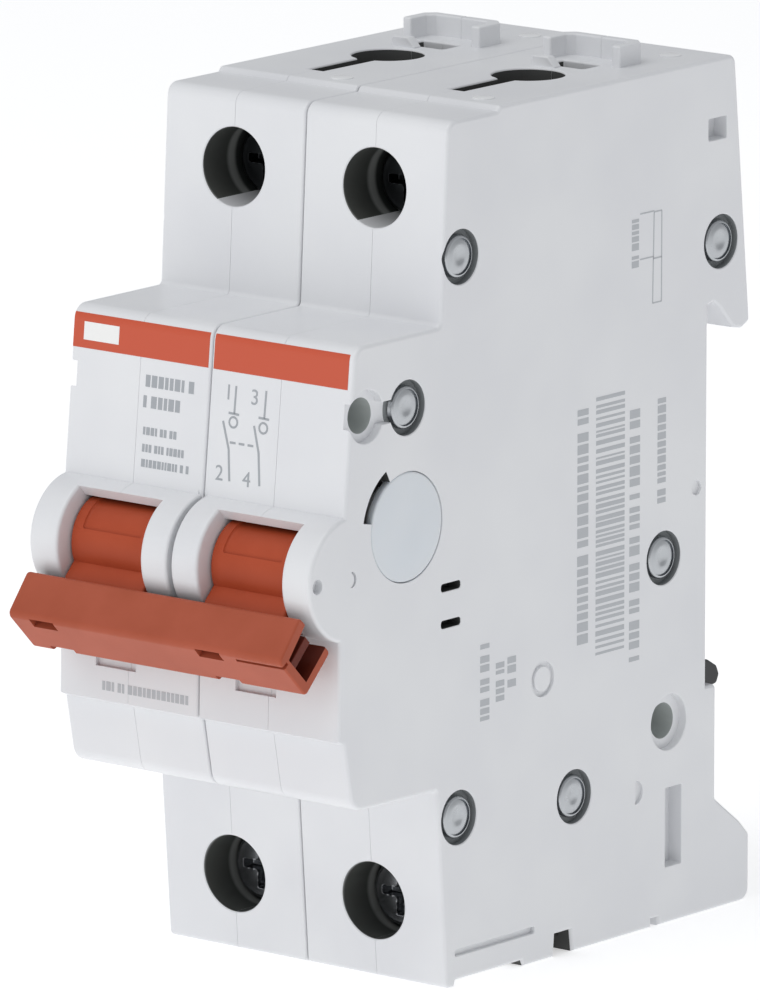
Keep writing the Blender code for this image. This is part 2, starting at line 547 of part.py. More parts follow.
# --- Terminals, clips -----------------------------------------------------------------------------
def make_terminal(what, pole, x, sign):
    """A captive clamp screw and the cage that it draws towards the front."""
    z = sign * TERMINAL_Z
    front = SCREW_HEAD_Y[sign]
    screw_axle = axle(f"{what}_screw_{pole}_axis", x, front, z)
    profile = [(0.0, -26.4), (SCREW_SHANK_R - 0.6, -26.4), (SCREW_SHANK_R, -27.2),
               (SCREW_SHANK_R, front + HEAD_DEEP), (SCREW_HEAD_R, front + HEAD_DEEP),
               (SCREW_HEAD_R, front + 0.4), (SCREW_HEAD_R - 0.4, front), (0.0, front)]
    screw = turned(f"{what}_screw_{pole}", profile, (x, z), "Y", 20)
    for i, (wide, tall) in enumerate(((4.6, 0.9), (0.9, 4.6))):
        boolean(screw, cutter(box(f"cut_{what}_{pole}_drive_{i}", (x - wide / 2, front - 1, z - tall / 2),
                                  (x + wide / 2, front + 1.5, z + tall / 2))))
    part(screw, STEEL, screw_axle)

    cage = box(f"{what}_cage_{pole}", (x - 5.0, -30.2, z - 4.0), (x + 5.0, -13.6, z + 4.0))
    boolean(cage, cutter(box(f"cut_{what}_{pole}_cage_hollow", (x - 3.8, -27.6, z - 5), (x + 3.8, -15.2, z + 5))))
    boolean(cage, cutter(rod(f"cut_{what}_{pole}_cage_thread", (x, z), 2.5, -32, -26, "Y", 20)))
    part(cage, STEEL, axle(f"{what}_cage_{pole}_slide", x, -22.0, z))


def make_clip(pole, x):
    """The rail catch: a plate that slides down, with a sloped nose behind the rail's lower edge."""
    outline = [(-2.5, -17.3), (0.6, -17.3), (2.65, -17.8), (4.0, -18.6), (4.4, -19.5), (4.0, -20.4),
               (0.0, -20.9), (0.0, -41.6), (-2.5, -41.6)]
    clip = prism(f"rail_clip_{pole}", outline, x - CLIP_HALF, x + CLIP_HALF)
    boolean(clip, cutter(box(f"cut_{pole}_clip_tool", (x - 2.5, -4, -40.6), (x + 2.5, 2, -38.4))))
    part(clip, BLACK, axle(f"rail_clip_{pole}_slide", x, 0, -30))


# --- The switch -----------------------------------------------------------------------------------
clear_scene()
PARTS = new_collection("switch_disconnector")
CUTTERS = new_collection("cutters")

handle_axle = axle("handle_axis", 0, *HINGE)
make_housing()
make_rivets()
make_side_plugs()
make_tie_bar(handle_axle)
for number, middle in POLES.items():
    make_toggle(number, middle, handle_axle)
    make_toggle_pin(number, middle)
    make_toggle_spring(number, middle)
    carrier_at = axle(f"carrier_{number}_axis", middle, *CARRIER_AXIS)
    make_link(number, middle, axle(f"link_{number}_axis", middle, *along(HINGE, CRANK_ANGLE, CRANK_R, 0)))
    make_carrier(number, middle, carrier_at)
    make_contacts(number, middle, carrier_at)
    make_bars(number, middle)
    make_braid(number, middle)
    make_contact_spring(number, middle)
    make_terminal("line", number, middle, 1)
    make_terminal("load", number, middle, -1)
    make_clip(number, middle)
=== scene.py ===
"""Looks of a two-pole modular switch disconnector with toggle handles, 35 mm wide, for a 35 mm rail.

X runs across the poles, +Y points back to the rail and +Z is up; y = 0 is the rail's front plane.
Sizes are millimetres, and MM turns them into metres. An outline lies in the YZ plane as (y, z), and an
angle in it is counted from +Y towards +Z.
"""

import math

import bmesh
import bpy
import numpy as np
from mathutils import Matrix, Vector


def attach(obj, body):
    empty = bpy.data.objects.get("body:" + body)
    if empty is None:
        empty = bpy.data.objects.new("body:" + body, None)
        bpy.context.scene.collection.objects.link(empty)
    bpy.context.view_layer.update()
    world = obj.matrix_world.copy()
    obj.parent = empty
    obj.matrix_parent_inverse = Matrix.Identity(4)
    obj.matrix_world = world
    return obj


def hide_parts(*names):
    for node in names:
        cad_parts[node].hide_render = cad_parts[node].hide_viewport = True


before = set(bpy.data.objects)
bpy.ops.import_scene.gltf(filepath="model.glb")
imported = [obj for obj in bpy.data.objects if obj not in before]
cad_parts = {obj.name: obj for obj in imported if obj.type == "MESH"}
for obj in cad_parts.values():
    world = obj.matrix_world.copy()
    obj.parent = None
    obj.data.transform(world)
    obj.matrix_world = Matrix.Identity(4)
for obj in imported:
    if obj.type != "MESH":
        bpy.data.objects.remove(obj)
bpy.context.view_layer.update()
MM = 0.001


# --- Studio ---------------------------------------------------------------------------------------
# A wide sheet of white paper under the switch, a soft window light from the left, a larger one over
# the top, and a long lens from the front right. The side face has no lamp of its own and stays darker.
FLOOR_Z = -42.6
VIEW_AZIMUTH, VIEW_HEIGHT, VIEW_DISTANCE = math.radians(39.03), math.radians(11.99), 1255.6
VIEW_MIDDLE = (-2.243, -26.628, 0.696)      # what the lens is aimed at
LENS = 463.8


def linear(code, alpha=1.0):
    """An sRGB hex colour as linear numbers: each channel is undone by the sRGB curve."""
    channels = np.array([int(code[i:i + 2], 16) for i in (1, 3, 5)]) / 255
    low, high = channels / 12.92, ((channels + 0.055) / 1.055) ** 2.4
    return (*np.where(channels <= 0.04045, low, high).tolist(), alpha)


def add_node(tree, kind, settings=None, **links):
    """A node with its settings; a link's name is an input, and its value a socket or a plain value."""
    made = tree.nodes.new("ShaderNode" + kind)
    for key, value in (settings or {}).items():
        setattr(made, key, value)
    for key, value in links.items():
        socket = made.inputs[int(key[1:])] if key[1:].isdigit() else made.inputs[key.replace("_", " ")]
        if isinstance(value, bpy.types.NodeSocket):
            tree.links.new(value, socket)
        else:
            socket.default_value = value
    return made


def new_material(name, colour, roughness, metallic=0.0, ior=1.5):
    """A Principled material with its plain values on the shader's own sockets."""
    made = bpy.data.materials.new(name)
    made.use_nodes = True
    shader = made.node_tree.nodes["Principled BSDF"]
    shader.inputs["Base Color"].default_value = linear(colour)
    shader.inputs["Roughness"].default_value = roughness
    shader.inputs["Metallic"].default_value = metallic
    shader.inputs["IOR"].default_value = ior
    return made, made.node_tree, shader


def skin(name, rings, capped=True, closed=True):
    """A skin over rows of points in millimetres: each row is joined to the next, closed rows run round,
    and capped ones get a flat face over the first and the last row. It is turned to face outwards."""
    rings = np.asarray(rings, float)
    rows, sides = rings.shape[:2]
    i = np.arange(rows - 1)[:, None] * sides
    j = np.arange(sides if closed else sides - 1)[None, :]
    k = (j + 1) % sides
    quads = np.stack([i + j, i + k, i + k + sides, i + j + sides], -1).reshape(-1, 4).tolist()
    if capped:
        quads += [list(range(sides))[::-1], list(range((rows - 1) * sides, rows * sides))]
    mesh = bpy.data.meshes.new(name)
    mesh.from_pydata((rings.reshape(-1, 3) * MM).tolist(), [], quads)
    work = bmesh.new()
    work.from_mesh(mesh)
    bmesh.ops.remove_doubles(work, verts=work.verts, dist=0.0005 * MM)
    if capped and work.calc_volume(signed=True) < 0:
        bmesh.ops.reverse_faces(work, faces=work.faces)
    work.to_mesh(mesh)
    work.free()
    return bpy.data.objects.new(name, mesh)


scene = bpy.context.scene
sheet = 4000.0
corners = np.array([[(a * sheet, b * sheet, FLOOR_Z) for a in (-1, 1)] for b in (-1, 1)])
backdrop = skin("paper_sheet", corners, capped=False, closed=False)
scene.collection.objects.link(backdrop)
paper, _, paper_shader = new_material("white_paper", "#F4F4F4", 0.9)
# The paper is lit from below as well, so that it burns out to plain white.
paper_shader.inputs["Emission Color"].default_value = linear("#FFFFFF")
paper_shader.inputs["Emission Strength"].default_value = 0.44
backdrop.data.materials.append(paper)

scene.world = bpy.data.worlds.new("studio")
scene.world.use_nodes = True
scene.world.node_tree.nodes["Background"].inputs["Color"].default_value = linear("#F7F9FC")
scene.world.node_tree.nodes["Background"].inputs["Strength"].default_value = 0.5
scene.view_settings.view_transform = "Standard"


def place_light(name, azimuth, height, distance, size, power):
    """A square soft box on a sphere round the switch, facing its middle."""
    light = bpy.data.lights.new(name, "AREA")
    light.shape, light.size, light.energy = "SQUARE", size * MM, power
    lamp = bpy.data.objects.new(name, light)
    a, h = math.radians(azimuth), math.radians(height)
    away = Vector((math.sin(a) * math.cos(h), -math.cos(a) * math.cos(h), math.sin(h)))
    lamp.location = away * distance * MM
    lamp.rotation_euler = away.to_track_quat("Z", "Y").to_euler()
    scene.collection.objects.link(lamp)


place_light("left_soft_box", -18, 14, 900, 700, 1.0)
place_light("overhead_soft_box", -12, 66, 900, 800, 2.5)

lens = bpy.data.cameras.new("long_lens")
lens.sensor_fit, lens.sensor_height, lens.lens = "VERTICAL", 36, LENS
lens.clip_end = 20
camera = bpy.data.objects.new("long_lens", lens)
away = Vector((math.sin(VIEW_AZIMUTH) * math.cos(VIEW_HEIGHT),
               -math.cos(VIEW_AZIMUTH) * math.cos(VIEW_HEIGHT), math.sin(VIEW_HEIGHT)))
camera_at = Vector((0, -25, 0)) + away * VIEW_DISTANCE
camera.location = camera_at * MM
camera.rotation_euler = (camera_at - Vector(VIEW_MIDDLE)).to_track_quat("Z", "Y").to_euler()
scene.collection.objects.link(camera)
scene.camera = camera


# --- Housing half shells --------------------------------------------------------------------------
# Each pole is two half shells of glass-filled polyester, moulded glossy light grey, which meet on a hair
# line in the pole's middle. A shell is its side outline carried along X with rounded rims, and its holes
# are cut by ways whose mouths flare in a quarter round.
MODULE = 17.5
POLES = {1: -MODULE / 2, 2: MODULE / 2}
SEAM, POLE_GAP = 0.012, 0.06           # half of each gap, between halves and between poles
OUTER_RIM, POLE_RIM, SEAM_RIM = 0.4, 0.28, 0.03
TOP, BOTTOM, NOSE_TOP, NOSE_BOTTOM = 42.8, -42.6, 22.6, -22.5
CHAMBER = 6.9
TERMINAL_Z, WIRE_Y, ENTRY_R, SCREW_WAY_R = 35.0, -17.4, 3.6, 3.85
HINGE, HOOD_R, WINDOW_HALF = (-55.3, 0.3), 6.1, 5.2
LEVER_OFF, LEVER_ON = math.radians(225), math.radians(135)
CARRIER_AXIS = (-34.5, -10.0)
RIVETS = [(-38.6, 29.0), (2.0, 24.5), (-46.7, 15.6), (-6.9, -5.7), (-38.8, -25.9), (-20.9, -27.1)]
RIVET_WAY_R, RIVET_SEAT_R, RIVET_SEAT = 1.25, 2.7, 0.9
PLUG_CENTRE, PLUG_R = (-46.8, 4.0), 5.35
GATE_MARK, AID_HOLES = (-25.9, -14.5), ((-52.9, 15.7), (-6.0, -22.3))
CLIP_HALF, COLLAR_TOP = 7.0, 44.9
SHARP_ANGLE = 30                       # edges steeper than this stay crisp


def arc(centre, radius, start, end, steps=24):
    """Points on a circle from one angle to another, in degrees."""
    t = np.radians(np.linspace(start, end, steps + 1))
    return np.stack([centre[0] + radius * np.cos(t), centre[1] + radius * np.sin(t)], -1)


def circle(centre, radius, sides=72):
    """A closed ring of points; its first point isn't repeated at the end."""
    return arc(centre, radius, 0, 360 * (1 - 1 / sides), sides - 1)


def rounded(points, steps=8):
    """A closed outline in which each (a, b, radius) corner is an arc tangent to both of its sides."""
    made = []
    for before, corner, after in zip(points[-1:] + points[:-1], points, points[1:] + points[:1]):
        here = np.array(corner[:2], float)
        if len(corner) < 3:
            made.append(here[None])
            continue
        one, two = (np.array(p[:2], float) - here for p in (before, after))
        one, two = one / np.hypot(*one), two / np.hypot(*two)
        half = math.acos(float(one @ two)) / 2
        centre = here + (one + two) / np.hypot(*(one + two)) * corner[2] / math.sin(half)
        first, last = (here + way * corner[2] / math.tan(half) - centre for way in (one, two))
        start = math.atan2(first[1], first[0])
        sweep = (math.atan2(last[1], last[0]) - start + math.pi) % (2 * math.pi) - math.pi
        t = start + sweep * np.linspace(0, 1, steps + 1)
        made.append(centre + corner[2] * np.stack([np.cos(t), np.sin(t)], -1))
    return np.concatenate(made)


def rectangle(a0, a1, b0, b1, radius, steps=8):
    """A closed rectangle between two limits each way, with rounded corners."""
    return rounded([(a0, b0, radius), (a1, b0, radius), (a1, b1, radius), (a0, b1, radius)], steps)


def inset(outline, distance):
    """The outline moved inwards: each point goes along the mitre of its two sides, so both move by it."""
    side = np.roll(outline, -1, 0) - outline
    side /= np.hypot(*side.T)[:, None]
    area = np.sum(outline[:, 0] * np.roll(outline[:, 1], -1) - outline[:, 1] * np.roll(outline[:, 0], -1))
    inward = np.stack([-side[:, 1], side[:, 0]], -1) * np.sign(area)
    mitre = inward + np.roll(inward, 1, 0)
    shared = 1 + np.sum(inward * np.roll(inward, 1, 0), 1, keepdims=True)
    return outline + distance * mitre / np.maximum(shared, 0.3)


def stand(outline, level, axis):
    """An outline's points in space, with the level along the axis; level may be one for each point."""
    level = np.broadcast_to(level, len(outline))
    a, b = outline.T
    return np.stack({"X": (level, a, b), "Y": (a, level, b), "Z": (a, b, level)}[axis], -1)


def slab(name, outline, low, high, rims=(0.0, 0.0), axis="X", steps=5):
    """An outline carried along an axis. Near an end with a rim of radius r the outline is drawn in by
    r(1 - sin t) at a depth of r(1 - cos t), for t from 0 to a right angle."""
    t = np.linspace(0, math.pi / 2, steps + 1)
    rings = []
    for end, rim, inside in ((low, rims[0], 1), (high, rims[1], -1)):
        if not rim:
            rings.append([stand(outline, end, axis)])
            continue
        rows = [stand(inset(outline, rim * (1 - math.sin(s))), end + inside * rim * (1 - math.cos(s)), axis)
                for s in t]
        rings.append(rows if inside > 0 else rows[::-1])
    return skin(name, rings[0] + rings[1])


def way(outline, deep, face, axis="X", flare=0.2, slope=0.0, middle=0.0, clear=2.0, steps=5):
    """A cutter for a hole from a depth out through a face. At the mouth the outline spreads by
    r(1 - cos t) while it rises by r sin t; a sloped face shears it by slope times the second coordinate."""
    out = math.copysign(1, face - deep)
    lean = slope * (outline[:, 1] - middle)
    rings = [stand(outline, deep + lean, axis)]
    for t in np.linspace(0, math.pi / 2, steps + 1) if flare else [0.0]:
        wide = inset(outline, -flare * (1 - math.cos(t))) if flare else outline
        rings.append(stand(wide, face - out * flare * (1 - math.sin(t)) + lean, axis))
    rings.append(stand(inset(outline, -flare) if flare else outline, face + out * clear + lean, axis))
    return skin("cutter", rings)


def block(low, high):
    """A plain box cutter between two corners."""
    (x0, y0, z0), (x1, y1, z1) = low, high
    return skin("cutter", [stand(np.array([(y0, z0), (y1, z0), (y1, z1), (y0, z1)], float), x, "X")
                           for x in (x0, x1)])


def ring_cutter(half, inner, outer, start, end, flare, x=0.0, steps=40):
    """A sector of a ring round the hinge: its cross section is 2 x half wide and flares at the hood."""
    t = np.linspace(0, math.pi / 2, 5)
    right = np.stack([half + flare * (1 - np.cos(t)), HOOD_R - flare * (1 - np.sin(t))], -1)
    right = np.concatenate([[(half, inner)], right, [(half + flare, outer)]])
    section = np.concatenate([right, right[::-1] * (-1, 1)])
    turn = np.radians(np.linspace(start, end, steps + 1))[:, None]
    return skin("cutter", np.stack([x + section[:, 0] + 0 * turn, HINGE[0] + section[:, 1] * np.cos(turn),
                                    HINGE[1] + section[:, 1] * np.sin(turn)], -1))


def work_out(piece, cutters, added=(), later=()):
    """Adds, cuts and adds the later ones with exact Booleans, keeps the result as one plain mesh, and
    drops the tools."""
    scene.collection.objects.link(piece)
    tools = (*added, *cutters, *later)
    for other in tools:
        scene.collection.objects.link(other)
        step = piece.modifiers.new("Joint", "BOOLEAN")
        step.operation = "DIFFERENCE" if other in cutters else "UNION"
        step.solver, step.object = "EXACT", other
    graph = bpy.context.evaluated_depsgraph_get()
    graph.update()
    made = bpy.data.meshes.new_from_object(piece.evaluated_get(graph))
    piece.modifiers.clear()
    piece.data = made
    made.name = piece.name
    made.shade_smooth()
    made.set_sharp_from_angle(angle=math.radians(SHARP_ANGLE))
    even = piece.modifiers.new("Even shading", "WEIGHTED_NORMAL")
    even.keep_sharp = True
    even.weight = 80
    for tool in tools:
        bpy.data.objects.remove(tool, do_unlink=True)


def along(origin, angle, distance, offset):
    """The (y, z) point that far along a direction, and that far to its left."""
    c, s = math.cos(angle), math.sin(angle)
    return (origin[0] + distance * c - offset * s, origin[1] + distance * s + offset * c)


hood = [tuple(point) for point in arc(HINGE, HOOD_R, 255, 98, 60).tolist()]
shell_outline = rounded([
    (-41.7, NOSE_TOP, 0.5), (-40.6, 42.3, 1.3), (-33.0, 42.3, 0.15), (-32.6, TOP, 0.45), (4.2, TOP, 1.0),
    (6.6, 17.2), (6.7, 15.9, 0.45), (5.5, 15.3, 0.45), (4.0, 15.6), (1.9, 17.9), (0.9, 18.6),
    (0.0, 18.4), (0.0, -19.8), (1.6, -19.8, 0.45), (1.6, -31.4, 0.6), (5.6, -34.4, 0.6),
    (7.1, -35.9, 0.6), (7.1, BOTTOM, 1.2), (-7.5, BOTTOM), (-7.5, -41.75), (-8.6, -41.75),
    (-8.6, BOTTOM), (-21.0, BOTTOM), (-21.3, -40.35), (-23.8, -40.35), (-24.0, BOTTOM),
    (-28.6, BOTTOM), (-28.9, -42.0), (-39.2, -42.0), (-39.4, BOTTOM), (-40.6, BOTTOM, 0.5),
    (-42.1, -22.7, 0.5), (-54.9, NOSE_BOTTOM, 1.8), (-56.2, -15.7), (-57.05, -15.3),
    (-56.85, -6.0), *hood, (-56.1, 6.9), (-54.5, NOSE_TOP, 1.5)])
upper_slope, lower_slope = 1.1 / 19.7, -1.5 / 19.9
screw_face = {1: -40.6 - (42.3 - TERMINAL_Z) * upper_slope, -1: -40.6 + (42.6 - TERMINAL_Z) * lower_slope}


def entry_outline(x):
    """A round wire entry with a narrow nick in front of it, seen from above."""
    return np.concatenate([arc((x, WIRE_Y), ENTRY_R, -73, 253, 72), [(x - 1.0, -28.6), (x + 1.0, -28.6)]])


def collar_outline(x, side):
    """Half of the U-shaped collar behind an upper wire entry, seen from above."""
    half = [(SEAM, -6.0), (3.05, -6.0, 0.3), (3.75, -6.7, 0.3), (3.75, -9.2, 0.25), (4.85, -9.2, 0.25),
            (4.85, -5.9, 0.4), (3.85, -4.9, 0.4), (SEAM, -4.9)]
    return rounded([(x + side * u, *rest) for u, *rest in half], 4)


def pole_ways(x):
    """Every hole and hollow that both half shells of a pole share."""
    upper = np.array([(-34.0, 30.6), (-12.5, 30.6), (-12.5, 41.2), (-34.0, 41.2)])
    mechanism = np.array([
        (-12.5, 27.2), (-36.0, 27.2), (-36.0, 20.9), (-44.0, 20.9), (-44.0, 12.2), (-50.3, 12.2),
        (-50.3, -8.0), (-53.8, -8.0), (-53.8, -20.9), (-12.5, -20.9)])
    back = np.array([(-11.0, 41.0), (2.6, 41.0), (3.2, 28.2), (-1.6, 28.2), (-1.6, -15.0), (-11.0, -15.0)])
    ways = [slab("cutter", hollow, x - CHAMBER, x + CHAMBER)
            for hollow in (upper, upper * (1, -1), mechanism, back, circle(RIVETS[3], 2.3, 32))]
    for sign, slope in ((1, upper_slope), (-1, lower_slope)):
        z = sign * TERMINAL_Z
        ways.append(way(circle((x, z), SCREW_WAY_R, 96), -30, screw_face[sign], "Y", 0.22, slope, z))
        low, high = sorted((z, sign * 20.0))
        ways.append(block((x - 3.8, -26.1, low), (x + 3.8, -23.4, high)))
        ways.append(way(entry_outline(x), sign * 38.0, TOP if sign > 0 else BOTTOM, "Z", 0.2, clear=4.0))
    ways.append(way(rectangle(x - 2.4, x + 2.4, -11.9, -8.9, 0.3, 4), 40.0, TOP, "Z", 0.2, clear=4.0))
    ways.append(slab("cutter", circle(HINGE, 4.7, 96), x - WINDOW_HALF, x + WINDOW_HALF))
    room = 1.85
    window = [along(HINGE, LEVER_ON, 0.0, -room), along(HINGE, LEVER_ON, 8.0, -room),
              (-66.0, HINGE[1] + 7.0), (-66.0, HINGE[1] - 7.0),
              along(HINGE, LEVER_OFF, 8.0, room), along(HINGE, LEVER_OFF, 0.0, room)]
    ways.append(slab("cutter", np.array(window), x - WINDOW_HALF, x + WINDOW_HALF))
    lean = math.degrees(math.asin(room / HOOD_R))
    ways.append(ring_cutter(WINDOW_HALF, 5.0, 8.0, math.degrees(LEVER_ON) - lean,
                            math.degrees(LEVER_OFF) + lean, 0.35, x))
    ways.append(block((x - WINDOW_HALF, -53.4, -9.0), (x + WINDOW_HALF, -49.0, 3.0)))
    ways.append(slab("cutter", circle(HINGE, 1.15, 32), x - 6.8, x + 6.8))
    ways.append(slab("cutter", circle(CARRIER_AXIS, 1.35, 32), x - 7.5, x + 7.5))
    clip = np.array([(-2.8, -17.1), (9.0, -17.1), (9.0, -24.8), (0.2, -24.8), (0.2, -50.0), (-2.8, -50.0)])
    ways.append(slab("cutter", clip, x - CLIP_HALF - 0.2, x + CLIP_HALF + 0.2))
    ways.append(block((x - 4.1, -60.0, -12.0), (x + 0.95, -56.5, -5.0)))
    ways += [slab("cutter", circle(at, RIVET_WAY_R, 32), x - 12, x + 12) for at in RIVETS]
    return ways


def side_ways(face, side):
    """What is sunk into an outer side face: seats, aid holes, slots and moulding marks."""
    def sunk(outline, depth, flare=0.12):
        """A cutter that goes from the face down to a depth."""
        return way(np.asarray(outline, float), face - side * depth, face, "X", flare)

    def oblong(y0, y1, z0, z1, depth, radius=0.15, flare=0.08):
        """The same for a rectangle."""
        return sunk(rectangle(y0, y1, z0, z1, radius, 3), depth, flare)

    ways = [sunk(circle(at, RIVET_SEAT_R), RIVET_SEAT) for at in RIVETS]
    ways.append(sunk(circle(PLUG_CENTRE, PLUG_R + 0.06, 120), 1.0, 0.03))
    crescent = np.concatenate([arc(PLUG_CENTRE, 6.7, 118, 168), arc(PLUG_CENTRE, 4.6, 168, 118)])
    ways.append(sunk(crescent, 1.7, 0.0))
    ways.append(sunk(circle(AID_HOLES[0], 2.6), 0.9))
    ways.append(sunk(circle(AID_HOLES[0], 1.75), 4.0, 0.0))
    ways.append(oblong(-52.0, -48.0, 14.55, 16.75, 0.9))
    ways.append(sunk(circle(AID_HOLES[1], 2.8), 0.9))
    ways.append(sunk(circle(AID_HOLES[1], 1.8), 4.0, 0.0))
    ways.append(oblong(-6.5, -3.9, -36.9, -28.9, 1.6))
    ways.append(oblong(-0.1, 2.8, 34.7, 36.9, 1.6))
    for z in (-2.0, -5.6):
        ways.append(oblong(-41.6, -38.6, z - 1.3, z - 0.5, 1.6, 0.3))
    ways.append(oblong(-39.4, -27.1, -39.6, -38.9, 0.5, 0.2))
    half_moon = arc((-11.3, -28.5), 1.2, -90, 90)
    ways.append(sunk(half_moon, 0.35, 0.0))
    ways.append(sunk(circle((-1.75, 0.5), 0.75, 32), 0.35, 0.05))
    ways.append(sunk(circle((-60.2, 0.4), 0.72, 32), 0.8, 0.05))
    ways.append(sunk(np.concatenate([arc((-55.2, 0.25), 0.8, -80, 80, 12),
                                     arc((-55.5, 0.25), 0.75, 70, -70, 12)]), 0.4, 0.0))
    ways.append(sunk(circle(GATE_MARK, 1.75, 48), 0.35, 0.05))
    return ways


def vary_roughness(tree, shader, pattern, low, high):
    """Lets a pattern's 0 to 1 move the roughness between two values."""
    span = add_node(tree, "MapRange", Value=pattern)
    span.inputs["To Min"].default_value, span.inputs["To Max"].default_value = low, high
    tree.links.new(span.outputs["Result"], shader.inputs["Roughness"])


def vary_colour(tree, shader, pattern, stops):
    """Lets a pattern's 0 to 1 choose the colour along (position, hex colour) stops."""
    shade = add_node(tree, "ValToRGB", Fac=pattern)
    ramp = shade.color_ramp
    for element, (position, colour) in zip(ramp.elements, (stops[0], stops[-1])):
        element.position, element.color = position, linear(colour)
    for position, colour in stops[1:-1]:
        ramp.elements.new(position).color = linear(colour)
    tree.links.new(shade.outputs["Color"], shader.inputs["Base Color"])


def emboss(tree, shader, height, strength, depth):
    """Lets a pattern raise the surface by up to a depth in millimetres, for shading only."""
    relief = add_node(tree, "Bump", Height=height, Strength=strength, Distance=depth * MM)
    tree.links.new(relief.outputs["Normal"], shader.inputs["Normal"])


polyester, tree, shader = new_material("glossy_polyester_moulding", "#E4E5E8", 0.3, ior=1.55)
spot = add_node(tree, "TexCoord").outputs["Object"]
# The melt's flow leaves soft clouds about 12 mm across, and the polished mould an even finer orange peel.
cloud = add_node(tree, "TexNoise", Vector=spot, Scale=80.0, Detail=2.0)
vary_colour(tree, shader, cloud.outputs["Fac"], [(0.35, "#E2E3E6"), (0.65, "#E7E8EA")])
vary_roughness(tree, shader, cloud.outputs["Fac"], 0.26, 0.36)
peel = add_node(tree, "TexNoise", Vector=spot, Scale=1400.0, Detail=1.0)
emboss(tree, shader, peel.outputs["Fac"], 0.05, 0.02)

# Inside the screw tubes the same moulding is dull, and its colour is painted shade: by depth it goes from the
# light mouth to dark, with a lighter painted band where the tube ends. The slots, seats and aid holes sunk in
# the faces are dull too, and darkened with painted shade.
slot_painted_shade, _, _ = new_material("slot_walls_painted_shade", "#414241", 0.6)
seat_painted_shade, _, _ = new_material("seat_walls_painted_shade", "#84888A", 0.6)
hole_painted_shade, _, _ = new_material("hole_walls_painted_shade", "#BEC3C1", 0.6)
tube_painted_shade, tree, shader = new_material("tube_walls_painted_shade", "#5E5F5C", 0.55)
spot = add_node(tree, "TexCoord").outputs["Object"]
place = add_node(tree, "SeparateXYZ", Vector=spot)
depth = add_node(tree, "MapRange", Value=place.outputs["Y"])
depth.inputs["From Min"].default_value, depth.inputs["From Max"].default_value = -43.5 * MM, -33.5 * MM
vary_colour(tree, shader, depth.outputs["Result"], [
    (0.2, "#B4B5B5"), (0.27, "#4C4E4B"), (0.6, "#434543"), (0.65, "#8E908E"), (0.71, "#8E908E"),
    (0.76, "#2E302F"), (1.0, "#2E302F")])


def faces_of(mesh):
    """Each face's middle in millimetres, as x, y and z rows, and how far it faces along each axis."""
    middles, normals = np.empty((2, len(mesh.polygons) * 3), np.float32)
    mesh.polygons.foreach_get("center", middles)
    mesh.polygons.foreach_get("normal", normals)
    return middles.reshape(-1, 3).T / MM, np.abs(normals.reshape(-1, 3)).T


def painted_wall_shades(mesh, x, edge, side, outer):
    """Which painted shade each face takes: 1 in the screw tubes, 2 in the dark slots, wire entries and round
    the drums, 3 in the rivet seats, 4 in the aid holes, and 0, the plain moulding, elsewhere."""
    (across, deep, high_up), (face_x, face_y, _) = faces_of(mesh)
    off_middle, off_level, in_side = np.abs(across - x), np.abs(high_up), side * (edge - across)

    def near(centre, radius):
        """Which faces lie within a radius of a point of the side view."""
        return np.hypot(deep - centre[0], high_up - centre[1]) < radius

    # These masks pick recess walls where shade falls; the colours given to them are painted shade.
    tube = (np.hypot(off_middle, off_level - TERMINAL_Z) < SCREW_WAY_R + 0.1) & (off_level > 30)
    tube &= (deep > -43.2) & (deep < -29.5) & (face_y < 0.5)
    tube &= (high_up - TERMINAL_Z > -3.3) | (high_up < 0)       # an upper tube's floor stays pale
    entry = (off_middle < 3.9) & (off_middle > 0.06) & (deep > -29) & (deep < -9)
    entry &= (off_level > 36) & (off_level < 42.55)
    drum_well = (off_middle < 5.25) & (face_x < 0.5) & near(HINGE, 5.0)
    below_face = outer & (in_side > 0.3) & (in_side < 5)
    wall = below_face & (face_x < 0.5)
    seat_floor = below_face & (in_side < 1.2) & (face_x > 0.5)
    seat = np.any([near(at, RIVET_SEAT_R + 0.1) for at in RIVETS], 0) & (wall | seat_floor)
    bore = np.any([near(at, 1.85) for at in AID_HOLES], 0) & wall
    crescent = near(PLUG_CENTRE, 6.8) & ~near(PLUG_CENTRE, PLUG_R + 0.1) & (deep < -49)
    vents = (deep > -41.8) & (deep < -38.4) & (np.abs(high_up + 4.7) < 2.4)
    dark = (crescent | vents) & below_face | entry | drum_well
    return np.select([tube, dark, seat, bore], [1, 2, 3, 4], 0)


